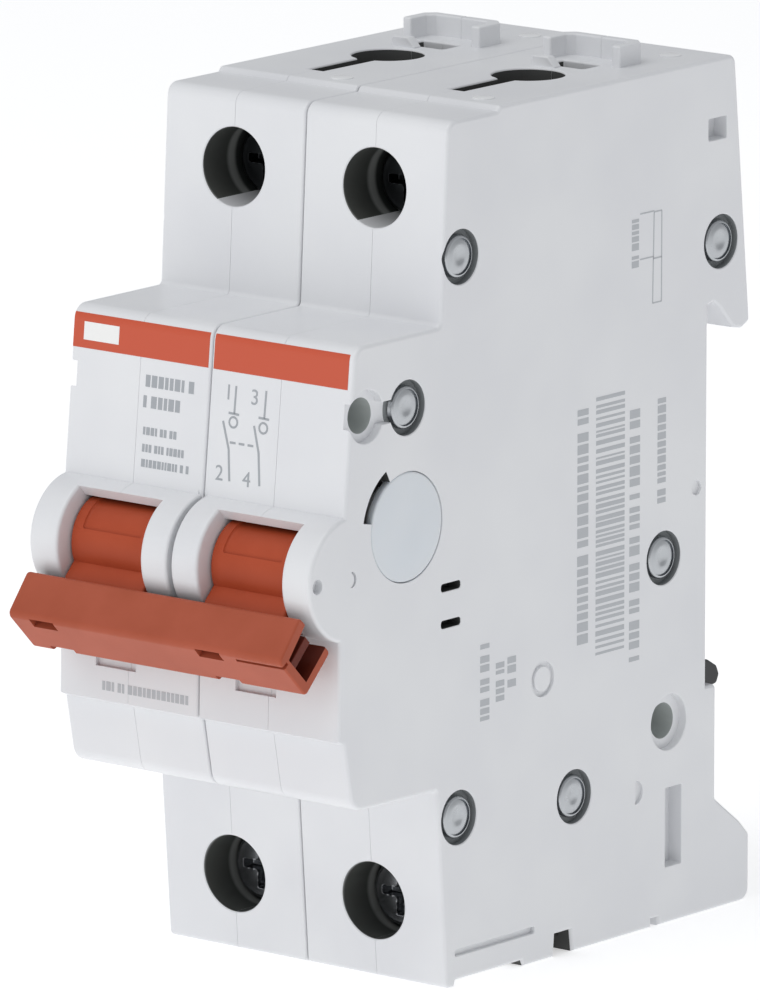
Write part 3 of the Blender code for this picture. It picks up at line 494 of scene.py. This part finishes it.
hood_gap = (0.3, 2.5, 8.0, 97, 256, 0.3)
for pole, x in POLES.items():
    for side, word in ((-1, "left"), (1, "right")):
        outer = (pole == 1) == (side < 0)
        edge = x + side * MODULE / 2 - (0 if outer else side * POLE_GAP)
        seam = x + side * SEAM
        rims = [(seam, SEAM_RIM), (edge, OUTER_RIM if outer else POLE_RIM)]
        (low, low_rim), (high, high_rim) = sorted(rims)
        shell = slab(f"pole_{pole}_{word}_moulding", shell_outline, low, high, (low_rim, high_rim))
        collar = slab("cutter", collar_outline(x, side), 42.0, COLLAR_TOP, (0, 0.2), "Z")
        nub = rounded([(x - 2.9, 42.0), (x - 0.05, 42.0), (x - 0.05, 42.9), (x - 0.9, 43.8, 0.3),
                       (x - 2.9, 43.8, 0.3)], 4)
        nub = slab("cutter", nub, -13.3, -12.2, (0.15, 0.15), "Y")
        added = [collar] + ([nub] if side < 0 else [])
        gate = [slab("cutter", circle(GATE_MARK, 1.25, 48), *sorted((edge - side * 0.6, edge - side * 0.03)),
                     (0.06, 0.06))] if outer else []
        cuts = pole_ways(x) + (side_ways(edge, side) if outer else [ring_cutter(*hood_gap)])
        work_out(shell, cuts, added, gate)
        mesh = shell.data
        for finish in (polyester, tube_painted_shade, slot_painted_shade, seat_painted_shade, hole_painted_shade):
            mesh.materials.append(finish)
        which = painted_wall_shades(mesh, x, edge, side, outer)
        mesh.polygons.foreach_set("material_index", which.astype(np.int32))
        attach(shell, "housing")
        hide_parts(f"pole_{pole}_{word}_shell")


# --- Printing -------------------------------------------------------------------------------------
# Pad-printed ink, about 0.02 mm thick, that follows the nose front and the right side face: a red
# stripe, grey lines for the rating and the date, the circuit symbol with its terminal numbers, a
# stripping gauge, and a lot code as plain bars. The lines of small print are bars, not letters.
INK = 0.02
FACE_X = 17.5

outline_y, outline_z = shell_outline.T
nose = shell_outline[(outline_y < -52.9) & (outline_z > 6.8)]
apron = shell_outline[(outline_y < -56.8) & (outline_z > -15.4) & (outline_z < -5.9)]
front_profile = np.concatenate([apron, nose])
front_profile = front_profile[np.argsort(front_profile[:, 1])]


def front_y(z):
    """The nose front's y at a height, read along its outline."""
    return np.interp(z, front_profile[:, 1], front_profile[:, 0])


def bars(boxes):
    """Corner points of upright rectangles given as (left, right, low, high)."""
    a0, a1, b0, b1 = np.asarray(boxes, float).T
    return np.stack([np.stack([a0, b0], -1), np.stack([a1, b0], -1), np.stack([a1, b1], -1),
                     np.stack([a0, b1], -1)], 1)


def strokes(points, wide, closed=False):
    """Corner points of a pen line through points: each piece is widened square to its direction."""
    points = np.asarray(points, float)
    ends = np.roll(points, -1, 0) if closed else points[1:]
    starts = points if closed else points[:-1]
    step = ends - starts
    step /= np.hypot(*step.T)[:, None]
    over = np.stack([-step[:, 1], step[:, 0]], -1) * wide / 2
    return np.stack([starts - over, ends - over, ends + over, starts + over], 1)


def print_ink(name, corners, ink, on_side=False, thick=INK):
    """Thin closed tiles over four-cornered patches: the outer face stands proud, the inner is sunk."""
    a, b = corners[..., 0], corners[..., 1]
    layers = []
    for lift in (thick, -thick):
        if on_side:
            layers.append(np.stack([np.full_like(a, FACE_X) + lift, a, b], -1))
        else:
            layers.append(np.stack([a, front_y(b) - lift, b], -1))
    points = np.concatenate(layers, 1)
    tile = np.array([(0, 1, 2, 3), (7, 6, 5, 4), (0, 4, 5, 1), (1, 5, 6, 2), (2, 6, 7, 3), (3, 7, 4, 0)])
    faces = (tile[None] + 8 * np.arange(len(points))[:, None, None]).reshape(-1, 4)
    mesh = bpy.data.meshes.new(name)
    mesh.from_pydata((points.reshape(-1, 3) * MM).tolist(), [], faces.tolist())
    mesh.materials.append(ink)
    made = bpy.data.objects.new(name, mesh)
    scene.collection.objects.link(made)
    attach(made, "housing")


def small_print(rng, left, right, low, high):
    """A line of small print as upright bars of uneven width, with a word's gap after one bar in five."""
    count = 40
    wide = rng.uniform(0.28, 0.62, count) * (high - low)
    gap = np.where(rng.random(count) < 0.2, 0.5, 0.16) * (high - low)
    start = left + np.concatenate([[0], np.cumsum(wide + gap)[:-1]])
    keep = start + wide < right
    return bars(np.stack([start, start + wide, np.full(count, low), np.full(count, high)], -1)[keep])


red_ink, _, _ = new_material("red_pad_print_ink", "#C9502F", 0.34)
grey_ink, _, _ = new_material("grey_pad_print_ink", "#A5A9AE", 0.45)
pale_ink, _, _ = new_material("pale_grey_laser_mark", "#B9BCC0", 0.5)
white_ink, _, _ = new_material("white_pad_print_ink", "#F2F2F0", 0.4)

heights = np.linspace(18.5, 21.85, 15)
for name, left, right in (("left_stripe", -17.3, -0.32), ("right_stripe", 0.32, 16.85)):
    print_ink(name, bars([(left, right, low, high) for low, high in zip(heights[:-1], heights[1:])]), red_ink)
print_ink("stripe_block", bars([(-16.0, -11.6, low, low + 0.35) for low in np.arange(19.3, 21.0, 0.35)]),
          white_ink, thick=1.5 * INK)

rng = np.random.default_rng(7)          # the bars' widths and gaps
lines = [(-7.95, -1.45, 15.75, 16.9), (-8.1, -3.1, 13.75, 14.9), (-7.9, -3.7, 11.15, 11.9),
         (-7.9, -2.2, 9.5, 10.25), (-7.9, -1.5, 8.05, 8.8)]
print_ink("rating_print", np.concatenate([small_print(rng, *line) for line in lines]), grey_ink)
print_ink("date_print", small_print(rng, -12.0, -1.15, -14.3, -13.4), pale_ink)

symbol = []
for left, low in ((3.27, 13.76), (6.98, 13.66)):
    symbol.append(strokes([(left, 17.2), (left - 0.05, 14.55)], 0.22))
    symbol.append(strokes([(left - 0.75, 14.55), (left + 0.55, 14.5)], 0.22))
    symbol.append(strokes(circle((left - 0.1, low - 0.05), 0.5, 20), 0.2, closed=True))
for blade in ([(1.9, 13.7), (2.8, 11.1), (3.13, 8.06)], [(5.74, 13.7), (6.5, 11.2), (6.85, 8.07)]):
    symbol.append(strokes(blade, 0.24))
symbol.append(bars([(left, left + 0.7, 11.65, 11.87) for left in (2.9, 4.0, 5.1)]))
print_ink("circuit_symbol", np.concatenate(symbol), grey_ink)

for text, left, low in (("1", 1.85, 15.8), ("3", 5.1, 15.7), ("2", 1.3, 8.0), ("4", 4.7, 7.8)):
    letters = bpy.data.curves.new("numeral", "FONT")
    letters.body, letters.size, letters.extrude = text, 2.1, 0.02
    flat = bpy.data.objects.new("numeral", letters)
    scene.collection.objects.link(flat)
    bpy.context.view_layer.update()
    shape = bpy.data.meshes.new_from_object(flat.evaluated_get(bpy.context.evaluated_depsgraph_get()))
    bpy.data.objects.remove(flat, do_unlink=True)
    spots = np.empty(len(shape.vertices) * 3, np.float32)
    shape.vertices.foreach_get("co", spots)
    a, b, out = spots.reshape(-1, 3).T
    spots = np.stack([left + a, front_y(low + b) - out, low + b], -1) * MM
    shape.vertices.foreach_set("co", spots.astype(np.float32).ravel())
    shape.materials.clear()
    shape.materials.append(grey_ink)
    numeral = bpy.data.objects.new("terminal_numeral_" + text, shape)
    scene.collection.objects.link(numeral)
    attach(numeral, "housing")

# The lot code is a column of bars of uneven height, cut off where the column ends.
COUNT, CODE_FRONT, CODE_BACK, CODE_LOW, CODE_HIGH = 60, -17.7, -13.2, -13.6, 12.4
tall = rng.uniform(0.16, 0.5, COUNT)
low = CODE_LOW + np.concatenate([[0], np.cumsum(tall + rng.uniform(0.16, 0.42, COUNT))[:-1]])
code = np.stack([np.full(COUNT, CODE_FRONT), np.full(COUNT, CODE_BACK), low, low + tall], -1)
code = code[low + tall < CODE_HIGH]
print_ink("lot_code_bars", bars(code), pale_ink, on_side=True)


def upright(tiles):
    """Turns a line of print to run up the face: along the line becomes height."""
    return tiles[..., ::-1] * (-1, 1)


side_lines = [(-12.1, 12.1, 18.9, 20.6), (-15.2, 10.7, 10.8, 12.4), (-0.1, 11.2, 6.7, 8.0),
              (-17.0, -8.8, 34.2, 35.6), (-15.5, -10.8, 31.9, 33.2), (-14.4, -11.1, 30.1, 31.4),
              (23.9, 29.3, 11.1, 12.2)]
print_ink("side_print", np.concatenate([upright(small_print(rng, *line)) for line in side_lines]),
          pale_ink, on_side=True)
gauge = [strokes([(-8.7, 29.0), (-7.5, 29.0), (-7.5, 20.0), (-8.9, 20.0)], 0.14, closed=True),
         strokes([(-8.8, 24.4), (-7.5, 24.4)], 0.14), strokes([(-10.9, 29.1), (-8.7, 29.1)], 0.14),
         strokes([(-10.9, 24.6), (-8.8, 24.6)], 0.14)]
print_ink("stripping_gauge", np.concatenate(gauge), pale_ink, on_side=True)


# --- Rivets and side plugs ------------------------------------------------------------------------
# Zinc-plated steel rivets hold each pair of halves together, upset into a low dome at both ends, and a
# bluish translucent plug covers the trip coupling on either side.
def turned(name, profile, centre, axis="X", sides=64):
    """A lathed surface: each (radius, level) of the profile is a circle about the axis."""
    return skin(name, [stand(circle(centre, max(radius, 0.0001), sides), level, axis)
                       for radius, level in profile])


def finish_piece(piece, material, body, slot, *nodes, smooth=35):
    """Gives a piece its finish, its body and the CAD nodes that it stands for."""
    if piece.name not in scene.collection.objects:
        scene.collection.objects.link(piece)
    piece.data.shade_smooth()
    piece.data.set_sharp_from_angle(angle=math.radians(smooth))
    piece.data.materials.clear()
    piece.data.materials.append(material)
    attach(piece, body)
    if nodes:
        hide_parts(*nodes)


zinc, tree, shader = new_material("bright_zinc_plated_steel", "#B6B9BC", 0.28, 1.0)
spot = add_node(tree, "TexCoord").outputs["Object"]
# Barrel plating leaves fine pits and dull patches about 0.7 mm across.
patch = add_node(tree, "TexNoise", Vector=spot, Scale=1400.0, Detail=3.0)
vary_roughness(tree, shader, patch.outputs["Fac"], 0.2, 0.42)
emboss(tree, shader, patch.outputs["Fac"], 0.15, 0.05)

t = np.linspace(0, math.pi / 2, 9)
HEAD_R, HEAD_EDGE, SHANK, reach = 2.1, 0.3, 1.1, MODULE - RIVET_SEAT + 0.1
crest = reach + 0.62
turn = t[::-1]
head_edge = np.stack([HEAD_R - HEAD_EDGE * (1 - np.sin(turn)), crest - HEAD_EDGE * (1 - np.cos(turn))], -1)
crown = [(0.0, crest - 0.12), (0.55, crest - 0.12), (0.75, crest - 0.02), (1.3, crest)]
head = crown + head_edge.tolist() + [(HEAD_R, reach), (SHANK, reach)]
profile = head + [(r, -level) for r, level in reversed(head)]
for i, at in enumerate(RIVETS, 1):
    finish_piece(turned(f"rivet_{i}_upset", profile, at), zinc, "housing", "zinc_plated_steel", f"rivet_{i}")

# Polished polyester for the ejector marks: the gloss is real, the whiter colour a painted highlight.
mark_white_painted_highlight, _, _ = new_material("polished_polyester_painted_highlight", "#F0F1F2", 0.12)
plug_plastic, tree, shader = new_material("milky_polycarbonate", "#E4E9EE", 0.2, ior=1.58)
shader.inputs["Subsurface Weight"].default_value = 0.25
shader.inputs["Subsurface Radius"].default_value = (0.8, 0.9, 1.0)
shader.inputs["Subsurface Scale"].default_value = 0.001
spot = add_node(tree, "TexCoord").outputs["Object"]
haze = add_node(tree, "TexNoise", Vector=spot, Scale=160.0, Detail=1.0)
vary_colour(tree, shader, haze.outputs["Fac"], [(0.0, "#D6DCE2"), (1.0, "#E2E6EA")])
for side, word in ((-1, "left"), (1, "right")):
    low, high = sorted((side * (MODULE - 0.9), side * (MODULE - 0.02)))
    plug = slab(f"{word}_plug", circle(PLUG_CENTRE, PLUG_R, 120), low, high, (0.2, 0.2))
    finish_piece(plug, plug_plastic, "housing", "cap_plastic", f"side_plug_{word}")

# Two polished ejector marks stand a tenth of a millimetre proud of each pole's top; their whiter colour is a
# painted highlight.
for pole, x in POLES.items():
    for number, at in enumerate(((x + 4.85, -30.4), (x + 4.25, -0.5)), 1):
        name = f"ejector_mark_{pole}_{number}"
        mark = slab(name, circle(at, 1.1, 32), TOP - 0.1, TOP + 0.1, (0, 0.06), "Z")
        finish_piece(mark, mark_white_painted_highlight, "housing", "housing")


# --- Toggles and tie bar --------------------------------------------------------------------------
# Brick-red polyamide. Each toggle is a drum with a lever, and the tie bar is a hollow cap that snaps
# over both levers through its windows, closed at the left end and open at the right.
DRUM_R, DRUM_HALF = 4.35, 5.0
CRANK_R, LINK_U = 3.2, 2.6


def red_polyamide(name, low, high):
    """Glass fibres at the surface give a satin grain, drawn at 0.15 mm, and slight clouds in the red."""
    made, tree, shader = new_material(name, low, 0.45, ior=1.5)
    shader.inputs["Specular IOR Level"].default_value = 0.2
    spot = add_node(tree, "TexCoord").outputs["Object"]
    grain = add_node(tree, "TexNoise", Vector=spot, Scale=6500.0, Detail=2.0)
    emboss(tree, shader, grain.outputs["Fac"], 0.12, 0.03)
    cloud = add_node(tree, "TexNoise", Vector=spot, Scale=220.0, Detail=3.0)
    vary_colour(tree, shader, cloud.outputs["Fac"], [(0.3, low), (0.7, high)])
    return made


brick_red = red_polyamide("brick_red_polyamide", "#A85239", "#B05840")
toggle_red = red_polyamide("orange_red_polyamide", "#AC482A", "#B44E30")


def lever(distance, offset):
    """The point that far along the lever in its off position, and that far to its left."""
    return along(HINGE, LEVER_OFF, distance, offset)


for pole, x in POLES.items():
    left, right = x - DRUM_HALF, x + DRUM_HALF
    drum = slab(f"toggle_{pole}_moulding", circle(HINGE, DRUM_R, 128), left, right, (0.3, 0.3))
    arm = np.array([lever(*at) for at in ((2.0, 1.6), (5.8, 1.6), (6.3, 1.3), (10.3, 1.15), (10.3, -1.15),
                                          (6.3, -1.3), (5.8, -1.6), (2.0, -1.6))])
    arm = slab("cutter", arm, left + 0.02, right - 0.02, (0.25, 0.25))
    crank = along(HINGE, math.radians(45), CRANK_R, 0)
    cuts = [slab("cutter", circle(HINGE, 1.12, 32), x - 6, x + 6),
            slab("cutter", circle(HINGE, 3.0, 48), x - 1.5, x + 1.5),
            block((x - 1.5, HINGE[0] + 1.0, HINGE[1] - 2.7), (x + 1.5, HINGE[0] + 6, HINGE[1] + 6)),
            block((x + LINK_U - 0.8, HINGE[0] + 1.25, HINGE[1] - 6),
                  (x + LINK_U + 0.8, HINGE[0] + 6, HINGE[1] + 6)),
            slab("cutter", circle(crank, 0.65, 24), x + LINK_U, x + 6)]
    panel = np.concatenate([arc(HINGE, DRUM_R - 0.22, 98, 158, 24), arc(HINGE, 6.5, 158, 98, 24)])
    cuts.append(slab("cutter", panel, x - 3.7, x + 3.7, (0.3, 0.3)))
    work_out(drum, cuts, [arm])
    finish_piece(drum, toggle_red, "handle", "red_handle", f"toggle_{pole}", smooth=32)

HALF_BAR, WALL = 17.0, 1.0
BASE, TIP, UNDER, FRONT, BACK = 6.4, 11.6, 3.1, 2.55, 3.1      # along the lever, and to its two sides


def lever_outline(*points):
    """An outline from (distance, offset) pairs on the lever."""
    return np.array([lever(*at) for at in points])


section = rounded([(*lever(BASE, UNDER), 0.45), (*lever(TIP, UNDER), 0.5), (*lever(TIP, -FRONT), 0.7),
                   (*lever(BASE + 0.3, -BACK), 0.45)], 8)
bar = slab("tie_bar_moulding", section, -HALF_BAR, HALF_BAR, (0.35, 0.25))
hollow = lever_outline((BASE - 0.9, UNDER - WALL), (TIP - WALL, UNDER - WALL), (TIP - WALL, WALL - FRONT),
                       (BASE - 0.9, WALL - BACK))
rib = slab("cutter", lever_outline((7.4, -0.9), (11.0, -0.9), (11.0, 0.1), (7.4, 0.1)), 14.4, HALF_BAR - 0.2,
           (0.1, 0.1))
cuts = [slab("cutter", hollow, WALL - HALF_BAR, HALF_BAR + 1)]
front_window = lever_outline((9.0, -2.2), (13.0, -2.2), (13.0, -1.0), (9.0, -1.0))
under_window = lever_outline((9.8, 2.2), (12.5, 2.2), (12.5, 4.0), (9.8, 4.0))
for x in (-12.9, 7.8):
    cuts += [slab("cutter", window, x - 1.5, x + 1.5) for window in (front_window, under_window)]
slit = lever_outline((10.9, -1.75), (13.0, -1.75), (13.0, -1.35), (10.9, -1.35))
cuts.append(slab("cutter", slit, 11.1, 18.0))
work_out(bar, cuts, later=[rib])
finish_piece(bar, brick_red, "handle", "red_handle", "handle_tie_bar", smooth=32)
# The hollow's walls take a darker red as painted shade inside the bar.
bar.data.materials.append(red_polyamide("red_polyamide_painted_shade", "#5E2418", "#6A2A1C"))
(across, deep, high_up), _ = faces_of(bar.data)
deep, high_up = deep - HINGE[0], high_up - HINGE[1]
down, up = math.cos(LEVER_OFF), math.sin(LEVER_OFF)
distance, offset = deep * down + high_up * up, high_up * down - deep * up
inner = (distance < TIP - WALL + 0.1) & (np.abs(offset) < UNDER - WALL + 0.05)
inner &= np.abs(across) < HALF_BAR - 0.05
bar.data.polygons.foreach_set("material_index", inner.astype(np.int32))


# --- Terminal screws and cages --------------------------------------------------------------------
# Captive M5 clamp screws with a cross and slot drive, steel above and zinc-plated below, both darkened as
# painted shade for heads deep in their tubes, the upper ones almost to black. They draw folded, zinc-plated
# cages towards the front. A thread is drawn as rings, one pitch apart.
SCREW_R, SHANK_R, HEAD_DEEP, HEAD_RIM, PITCH = 3.35, 2.35, 2.4, 0.45, 0.8
HEAD_Y = {1: -36.0, -1: -37.0}
SHANK_END = -26.4

# The upper screws' steel is darkened almost to black as painted shade deep in the tube.
screw_steel_painted_shade, tree, shader = new_material("steel_darkened_painted_shade", "#343638", 0.3, 1.0)
spot = add_node(tree, "TexCoord").outputs["Object"]
grey_bloom = add_node(tree, "TexNoise", Vector=spot, Scale=900.0, Detail=4.0)
vary_roughness(tree, shader, grey_bloom.outputs["Fac"], 0.22, 0.5)

# The lower screws' zinc is darkened as painted shade as well.
screw_zinc_painted_shade, _, _ = new_material("zinc_steel_darkened_painted_shade", "#8C8E91", 0.22, 1.0)

for what, sign in (("line", 1), ("load", -1)):
    for pole, x in POLES.items():
        front, z = HEAD_Y[sign], sign * TERMINAL_Z
        t = np.linspace(math.pi / 2, 0, 7)
        rim = np.stack([SCREW_R - HEAD_RIM * (1 - np.sin(t)), front + HEAD_RIM * (1 - np.cos(t))], -1)
        turns = np.arange(SHANK_END + 1.0, front + HEAD_DEEP + 0.6, -PITCH / 2)
        crest = np.where(np.arange(len(turns)) % 2 == 0, SHANK_R - 0.32, SHANK_R)
        # Turning leaves shallow rings on the head's face, 0.3 mm apart.
        rings = np.arange(2.7, 0.5, -0.3)
        face = [(r, front + (0.0 if i % 2 else 0.07)) for i, r in enumerate(rings)] + [(0.0, front)]
        profile = ([(0.0, SHANK_END), (SHANK_R - 0.7, SHANK_END)] + list(zip(crest, turns))
                   + [(SHANK_R - 0.2, front + HEAD_DEEP), (SCREW_R - 0.2, front + HEAD_DEEP),
                      (SCREW_R, front + HEAD_DEEP - 0.2)] + rim.tolist() + face)
        screw = turned(f"{what}_screw_{pole}_turned", profile, (x, z), "Y", 72)
        cuts = []
        for wide, tall in ((4.6, 0.9), (0.9, 4.6)):
            mouth = rectangle(x - wide / 2, x + wide / 2, z - tall / 2, z + tall / 2, 0.2, 4)
            cuts.append(slab("cutter", mouth, front - 1, front + 1.5, (0, 0.15), "Y"))
        work_out(screw, cuts)
        body = f"{what}_screw_{pole}"
        finish_piece(screw, screw_steel_painted_shade if sign > 0 else screw_zinc_painted_shade, body, "zinc_plated_steel", body)

        # The cage is a strip folded into a box, so its corners are rounded along Z and it is open there.
        outline = rectangle(x - 5.0, x + 5.0, -30.2, -13.6, 0.9)
        cage = slab(f"{what}_cage_{pole}_folded", outline, z - 4.0, z + 4.0, (0.2, 0.2), "Z")
        cuts = [slab("cutter", rectangle(x - 3.8, x + 3.8, -27.6, -15.2, 0.3), z - 5, z + 5, axis="Z"),
                slab("cutter", circle((x, z), 2.5), -32, -26, axis="Y")]
        work_out(cage, cuts)
        finish_piece(cage, zinc, f"{what}_cage_{pole}", "zinc_plated_steel", f"{what}_cage_{pole}")


# --- Rail clips -----------------------------------------------------------------------------------
# Black acetal slides behind the lower hook: each has a sloped nose for the rail's edge and an eye at
# its foot for a screwdriver.
black_acetal, tree, shader = new_material("black_acetal", "#26272A", 0.38, ior=1.48)
spot = add_node(tree, "TexCoord").outputs["Object"]
rub = add_node(tree, "TexNoise", Vector=spot, Scale=700.0, Detail=4.0)
vary_roughness(tree, shader, rub.outputs["Fac"], 0.3, 0.48)
for pole, x in POLES.items():
    outline = rounded([(-2.5, -17.3, 0.3), (0.6, -17.3, 0.6), (2.65, -17.8, 0.8), (4.0, -18.6, 0.5),
                       (4.4, -19.5, 0.5), (4.0, -20.4, 0.5), (0.0, -20.9, 0.3), (0.0, -41.6, 0.5),
                       (-2.5, -41.6, 0.5)], 6)
    clip = slab(f"rail_clip_{pole}_moulding", outline, x - CLIP_HALF, x + CLIP_HALF, (0.25, 0.25))
    cuts = [slab("cutter", rectangle(x - 2.5, x + 2.5, -40.6, -38.4, 0.4, 4), -4, 2, axis="Y")]
    work_out(clip, cuts)
    finish_piece(clip, black_acetal, f"rail_clip_{pole}", "black_plastic", f"rail_clip_{pole}")


# --- Inner mechanism ------------------------------------------------------------------------------
# The works of each pole keep the shapes that they were designed with: stamped copper bars and arms
# with silver tips, a braid, spring-steel wires, steel pins and a glass-filled carrier.
def drawn_metal(name, colour, low, high, scale, stretch=(1, 1, 1)):
    """A metal whose dullness varies in streaks: noise stretched along the way that it was drawn."""
    made, tree, shader = new_material(name, colour, high, 1.0)
    spot = add_node(tree, "TexCoord").outputs["Object"]
    laid = add_node(tree, "Mapping", Vector=spot, Scale=stretch)
    streak = add_node(tree, "TexNoise", Vector=laid.outputs["Vector"], Scale=scale, Detail=3.0)
    vary_roughness(tree, shader, streak.outputs["Fac"], low, high)
    emboss(tree, shader, streak.outputs["Fac"], 0.1, 0.03)
    return made


stamped_copper = drawn_metal("stamped_copper", "#C9855F", 0.25, 0.42, 900.0, (4, 1, 0.25))
spring_wire = drawn_metal("drawn_spring_wire", "#8E8F92", 0.28, 0.45, 1500.0)
silver_tip = drawn_metal("silver_alloy_contact", "#DAD8D2", 0.18, 0.35, 1200.0)
steel_pin = drawn_metal("ground_steel_pin", "#B9BBBE", 0.15, 0.3, 1500.0, (0.2, 2, 2))

braid, tree, shader = new_material("bare_copper_braid", "#B57852", 0.5, 1.0)
spot = add_node(tree, "TexCoord").outputs["Object"]
# Strands of 0.3 mm cross at a slant; two slanted wave patterns make the plait.
waves = []
for slant in (35, -35):
    laid = add_node(tree, "Mapping", Vector=spot, Rotation=(math.radians(slant), 0, 0))
    waves.append(add_node(tree, "TexWave", Vector=laid.outputs["Vector"], Scale=500.0).outputs["Fac"])
plait = add_node(tree, "Math", {"operation": "MULTIPLY"}, _0=waves[0], _1=waves[1])
emboss(tree, shader, plait.outputs["Value"], 0.6, 0.1)

glass_filled, tree, shader = new_material("glass_filled_nylon", "#515355", 0.5, ior=1.53)
spot = add_node(tree, "TexCoord").outputs["Object"]
fibre = add_node(tree, "TexNoise", Vector=spot, Scale=3000.0, Detail=2.0)
emboss(tree, shader, fibre.outputs["Fac"], 0.1, 0.03)

finishes = {"line_bar": stamped_copper, "load_bar": stamped_copper, "contact_arm": stamped_copper,
            "flexible_braid": braid, "moving_contact": silver_tip, "fixed_contact": silver_tip,
            "drive_link": spring_wire, "contact_spring": spring_wire, "toggle_spring": spring_wire,
            "toggle_pin": steel_pin, "carrier_pin": steel_pin, "contact_carrier": glass_filled}
for name, finish in finishes.items():
    for pole in POLES:
        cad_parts[f"{name}_{pole}"].material_slots[0].material = finish
